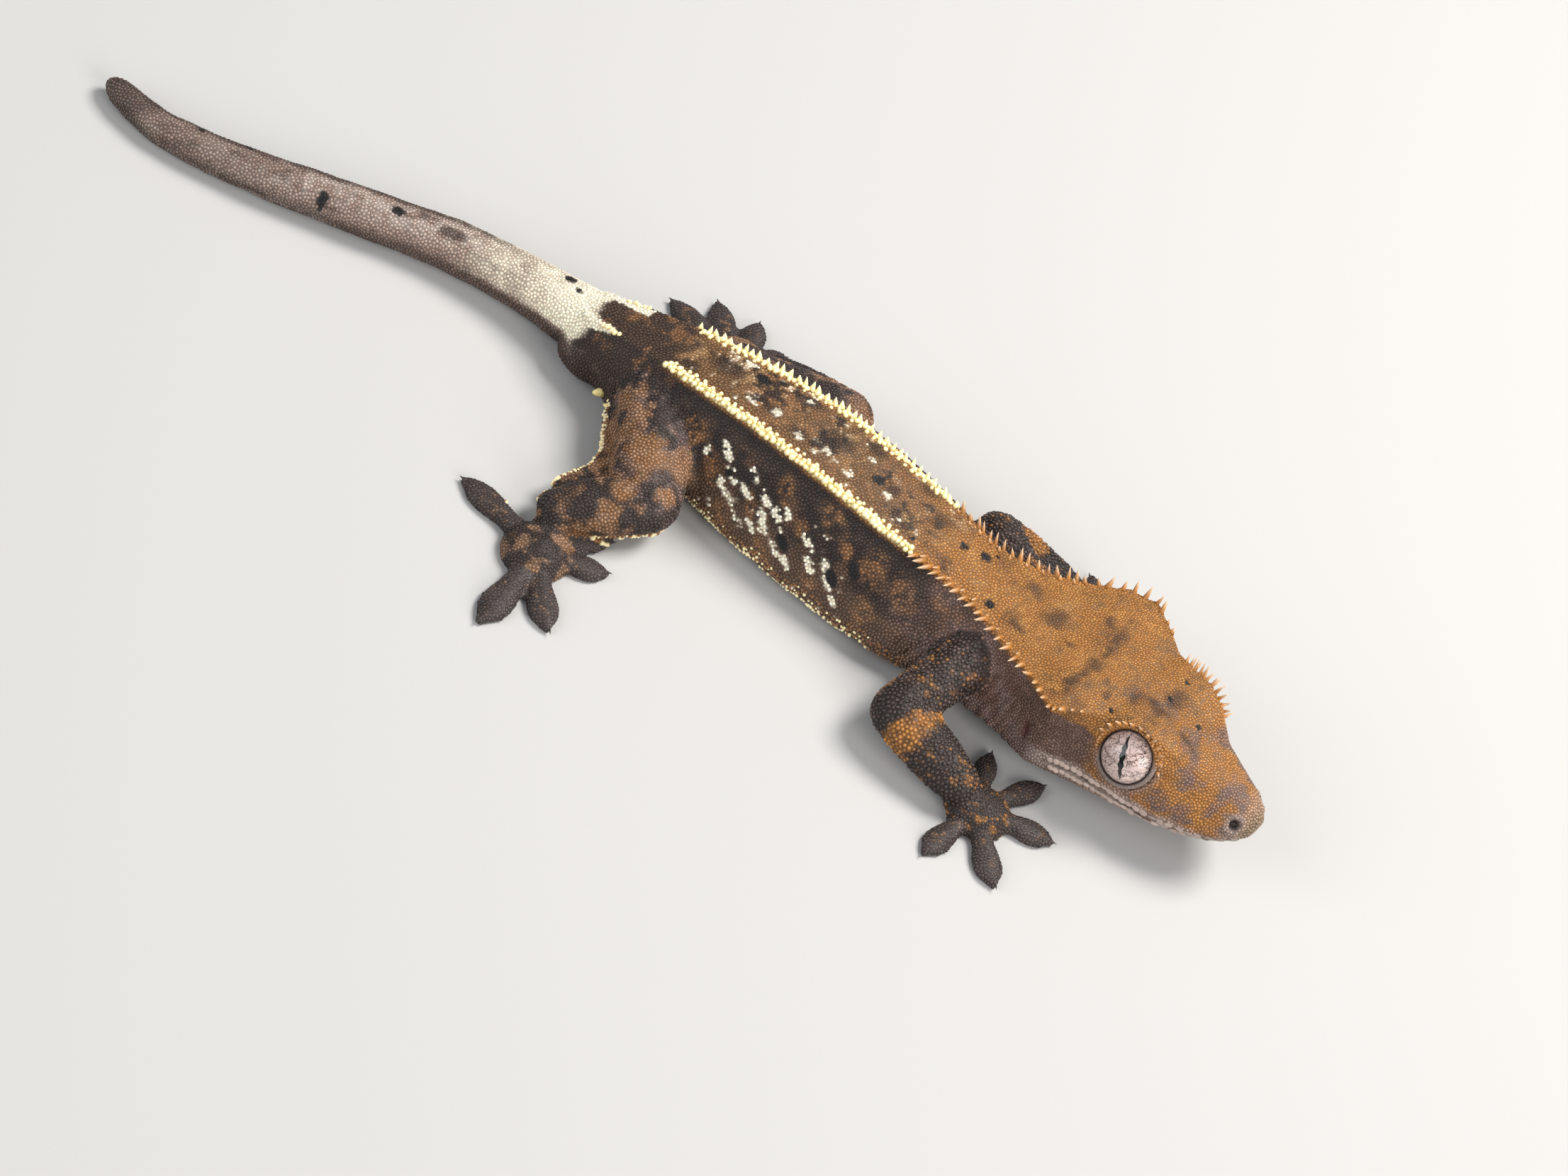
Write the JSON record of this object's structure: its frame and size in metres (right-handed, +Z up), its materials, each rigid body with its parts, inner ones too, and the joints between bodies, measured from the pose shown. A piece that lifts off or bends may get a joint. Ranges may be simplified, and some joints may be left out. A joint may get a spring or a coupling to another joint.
{
  "type": "crested gecko",
  "caption": "Life-size still model of a crested gecko lying on its belly, head turned a little to the right and tail swung to the same side.",
  "frame": {"origin": "on the floor, under the middle of the trunk, on the flat of the belly", "axes": "+X towards the head, +Y to the animal's left, +Z up"},
  "size_m": [0.1829, 0.0711, 0.0168],
  "materials": {
    "skin": "matt, finely granular scaly skin, brown with orange-ochre head, cream pinstripes and grey tail",
    "eye": "smooth and wet, silvery pink iris with fine dark veins and a black vertical slit pupil"
  },
  "bodies": {
    "root": {"head": "skin", "lower_jaw": "skin", "eye_left": "eye", "eye_right": "eye", "neck": "skin", "trunk": "skin", "tail_base": "skin", "tail_middle": "skin", "tail_end": "skin", "front_right_upper_arm": "skin", "front_right_forearm": "skin", "front_right_hand": "skin", "front_right_hand_toe_1": "skin", "front_right_hand_toe_2": "skin", "front_right_hand_toe_3": "skin", "front_right_hand_toe_4": "skin", "front_right_hand_toe_5": "skin", "front_left_upper_arm": "skin", "front_left_forearm": "skin", "front_left_hand": "skin", "front_left_hand_toe_1": "skin", "front_left_hand_toe_2": "skin", "front_left_hand_toe_3": "skin", "front_left_hand_toe_4": "skin", "front_left_hand_toe_5": "skin", "hind_right_thigh": "skin", "hind_right_shin": "skin", "hind_right_foot": "skin", "hind_right_foot_toe_1": "skin", "hind_right_foot_toe_2": "skin", "hind_right_foot_toe_3": "skin", "hind_right_foot_toe_4": "skin", "hind_right_foot_toe_5": "skin", "hind_left_thigh": "skin", "hind_left_shin": "skin", "hind_left_foot": "skin", "hind_left_foot_toe_1": "skin", "hind_left_foot_toe_2": "skin", "hind_left_foot_toe_3": "skin", "hind_left_foot_toe_4": "skin", "hind_left_foot_toe_5": "skin"}
  },
  "joints": []
}
